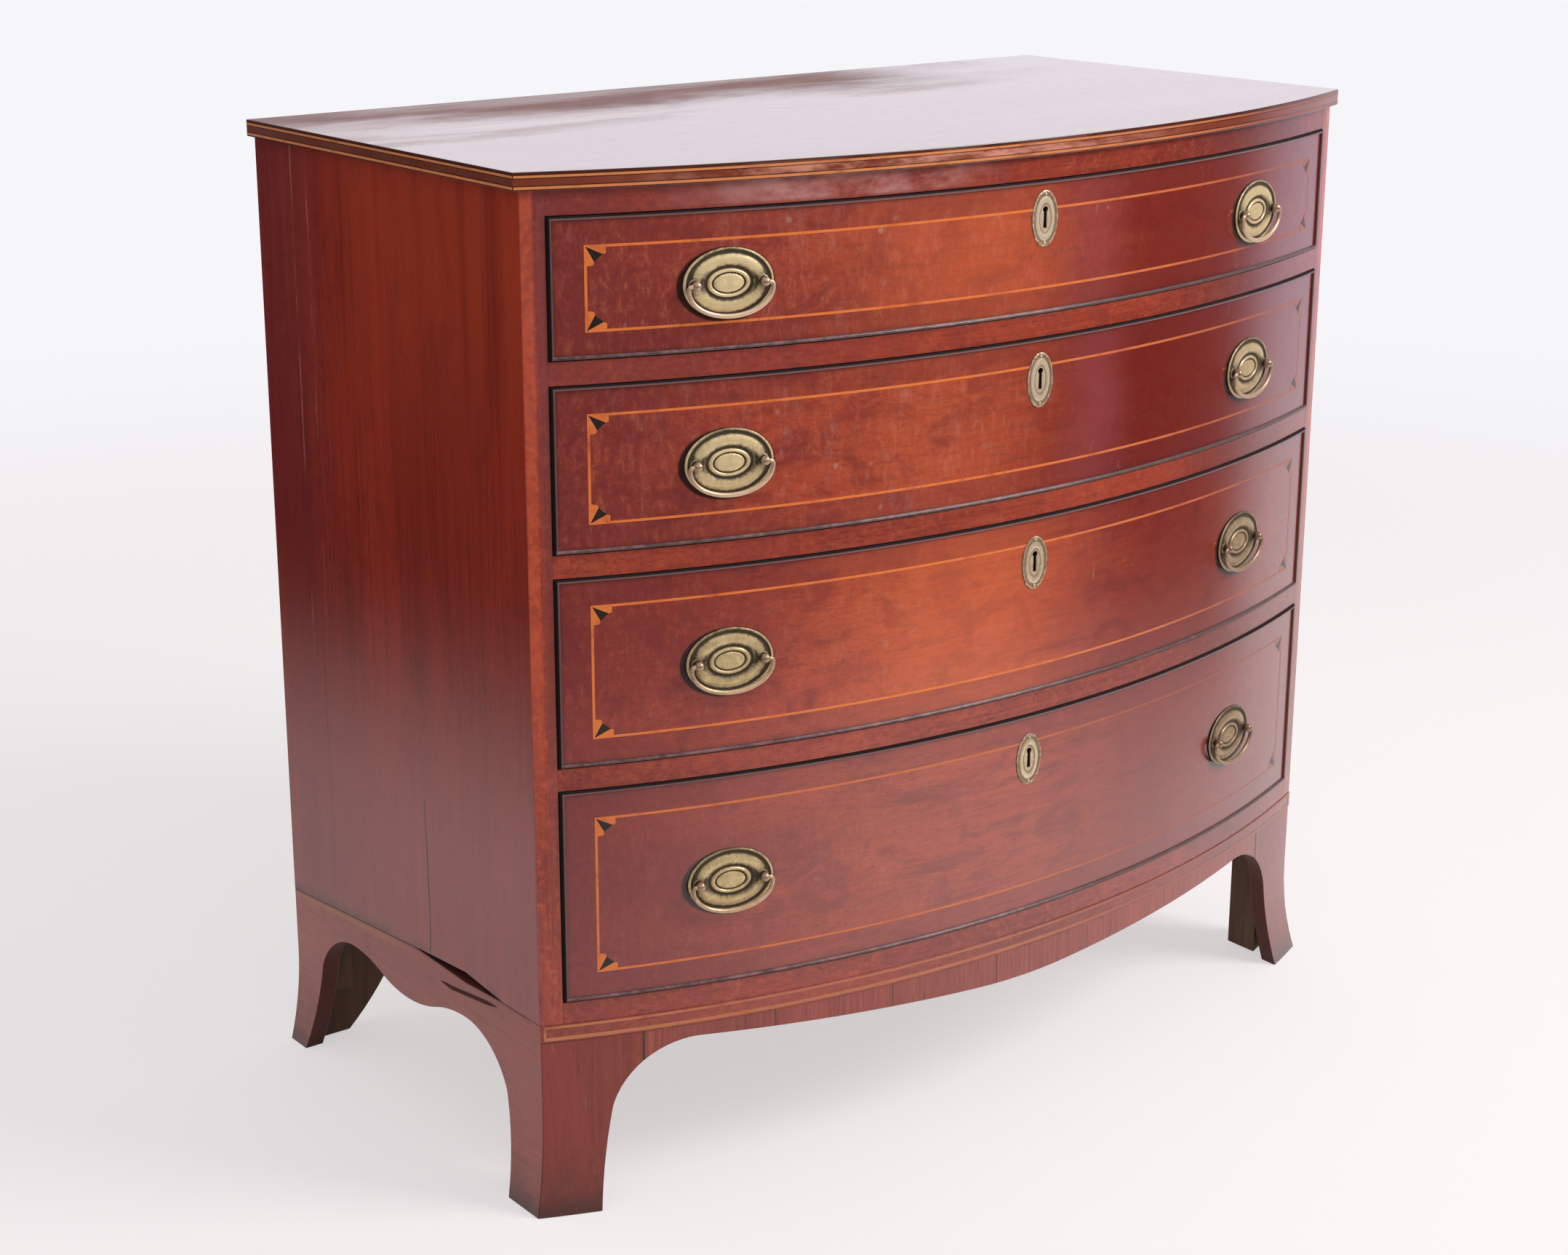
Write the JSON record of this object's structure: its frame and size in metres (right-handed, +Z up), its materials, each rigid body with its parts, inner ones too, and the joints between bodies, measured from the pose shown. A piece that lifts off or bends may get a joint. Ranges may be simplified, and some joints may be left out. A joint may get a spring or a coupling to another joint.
{
  "type": "bow front chest of drawers",
  "caption": "Bow front mahogany chest of graduated cock-beaded drawers on splayed bracket feet, with oval plate and bail handles.",
  "frame": {"origin": "on the floor, under the middle of the whole chest", "axes": "+X right as one faces the drawers, +Y towards the back, +Z up; the drawers open towards -Y"},
  "size_m": [1.027, 0.5823, 0.967],
  "materials": {
    "mahogany": "french polished, worn",
    "cockbead": "dark stained and polished",
    "lining_wood": "bare poplar, oxidised",
    "backing_wood": "bare pine, dusty",
    "brass": "worn lacquer, dark in the recesses",
    "iron": "dark, slightly rusted"
  },
  "bodies": {
    "case": {"top_board": "mahogany", "left_side": "mahogany", "right_side": "mahogany", "stile_facings": "mahogany", "top_rail": "mahogany", "drawer_dividers": "mahogany", "bottom_rail": "mahogany", "bottom_board": "lining_wood", "back_rail": "lining_wood", "runners_and_kickers": "lining_wood", "drawer_stops": "lining_wood", "back_boards": "backing_wood", "left_base_board": "mahogany", "right_base_board": "mahogany", "foot_faces": "mahogany", "front_apron": "mahogany", "base_band": "mahogany", "rear_brackets": "lining_wood", "glue_blocks": "lining_wood"},
    "drawer_1": {"drawer_1_front": "mahogany", "drawer_1_cockbead": "cockbead", "drawer_1_sides": "lining_wood", "drawer_1_back": "lining_wood", "drawer_1_bottom": "lining_wood", "drawer_1_lock": "iron", "drawer_1_brasses": "brass"},
    "drawer_1_lock_bolt": {"drawer_1_lock_bolt": "iron"},
    "drawer_1_bail_left": {"drawer_1_bail_left": "brass"},
    "drawer_1_bail_right": {"drawer_1_bail_right": "brass"},
    "drawer_2": {"drawer_2_front": "mahogany", "drawer_2_cockbead": "cockbead", "drawer_2_sides": "lining_wood", "drawer_2_back": "lining_wood", "drawer_2_bottom": "lining_wood", "drawer_2_lock": "iron", "drawer_2_brasses": "brass"},
    "drawer_2_lock_bolt": {"drawer_2_lock_bolt": "iron"},
    "drawer_2_bail_left": {"drawer_2_bail_left": "brass"},
    "drawer_2_bail_right": {"drawer_2_bail_right": "brass"},
    "drawer_3": {"drawer_3_front": "mahogany", "drawer_3_cockbead": "cockbead", "drawer_3_sides": "lining_wood", "drawer_3_back": "lining_wood", "drawer_3_bottom": "lining_wood", "drawer_3_lock": "iron", "drawer_3_brasses": "brass"},
    "drawer_3_lock_bolt": {"drawer_3_lock_bolt": "iron"},
    "drawer_3_bail_left": {"drawer_3_bail_left": "brass"},
    "drawer_3_bail_right": {"drawer_3_bail_right": "brass"},
    "drawer_4": {"drawer_4_front": "mahogany", "drawer_4_cockbead": "cockbead", "drawer_4_sides": "lining_wood", "drawer_4_back": "lining_wood", "drawer_4_bottom": "lining_wood", "drawer_4_lock": "iron", "drawer_4_brasses": "brass"},
    "drawer_4_lock_bolt": {"drawer_4_lock_bolt": "iron"},
    "drawer_4_bail_left": {"drawer_4_bail_left": "brass"},
    "drawer_4_bail_right": {"drawer_4_bail_right": "brass"}
  },
  "joints": [
    {"name": "drawer_1_slide", "type": "slide", "parent": "case", "child": "drawer_1", "axis": [0, -1, 0], "range_m": [0, 0.38]},
    {"name": "drawer_1_lock_bolt_throw", "type": "slide", "parent": "drawer_1", "child": "drawer_1_lock_bolt", "axis": [0, 0, 1], "range_m": [0, 0.0075]},
    {"name": "drawer_1_bail_left_swing", "type": "hinge", "parent": "drawer_1", "child": "drawer_1_bail_left", "pos_m": [-0.32994, -0.24853, 0.8637], "axis": [-0.9649, 0.2627, 0], "range_deg": [-4, 170]},
    {"name": "drawer_1_bail_right_swing", "type": "hinge", "parent": "drawer_1", "child": "drawer_1_bail_right", "pos_m": [0.32994, -0.24853, 0.8637], "axis": [-0.9649, -0.2627, 0], "range_deg": [-4, 170]},
    {"name": "drawer_2_slide", "type": "slide", "parent": "case", "child": "drawer_2", "axis": [0, -1, 0], "range_m": [0, 0.38]},
    {"name": "drawer_2_lock_bolt_throw", "type": "slide", "parent": "drawer_2", "child": "drawer_2_lock_bolt", "axis": [0, 0, 1], "range_m": [0, 0.0075]},
    {"name": "drawer_2_bail_left_swing", "type": "hinge", "parent": "drawer_2", "child": "drawer_2_bail_left", "pos_m": [-0.32994, -0.24853, 0.705], "axis": [-0.9649, 0.2627, 0], "range_deg": [-4, 170]},
    {"name": "drawer_2_bail_right_swing", "type": "hinge", "parent": "drawer_2", "child": "drawer_2_bail_right", "pos_m": [0.32994, -0.24853, 0.705], "axis": [-0.9649, -0.2627, 0], "range_deg": [-4, 170]},
    {"name": "drawer_3_slide", "type": "slide", "parent": "case", "child": "drawer_3", "axis": [0, -1, 0], "range_m": [0, 0.38]},
    {"name": "drawer_3_lock_bolt_throw", "type": "slide", "parent": "drawer_3", "child": "drawer_3_lock_bolt", "axis": [0, 0, 1], "range_m": [0, 0.0075]},
    {"name": "drawer_3_bail_left_swing", "type": "hinge", "parent": "drawer_3", "child": "drawer_3_bail_left", "pos_m": [-0.32994, -0.24853, 0.5225], "axis": [-0.9649, 0.2627, 0], "range_deg": [-4, 170]},
    {"name": "drawer_3_bail_right_swing", "type": "hinge", "parent": "drawer_3", "child": "drawer_3_bail_right", "pos_m": [0.32994, -0.24853, 0.5225], "axis": [-0.9649, -0.2627, 0], "range_deg": [-4, 170]},
    {"name": "drawer_4_slide", "type": "slide", "parent": "case", "child": "drawer_4", "axis": [0, -1, 0], "range_m": [0, 0.38]},
    {"name": "drawer_4_lock_bolt_throw", "type": "slide", "parent": "drawer_4", "child": "drawer_4_lock_bolt", "axis": [0, 0, 1], "range_m": [0, 0.0075]},
    {"name": "drawer_4_bail_left_swing", "type": "hinge", "parent": "drawer_4", "child": "drawer_4_bail_left", "pos_m": [-0.32994, -0.24853, 0.311], "axis": [-0.9649, 0.2627, 0], "range_deg": [-4, 170]},
    {"name": "drawer_4_bail_right_swing", "type": "hinge", "parent": "drawer_4", "child": "drawer_4_bail_right", "pos_m": [0.32994, -0.24853, 0.311], "axis": [-0.9649, -0.2627, 0], "range_deg": [-4, 170]}
  ]
}
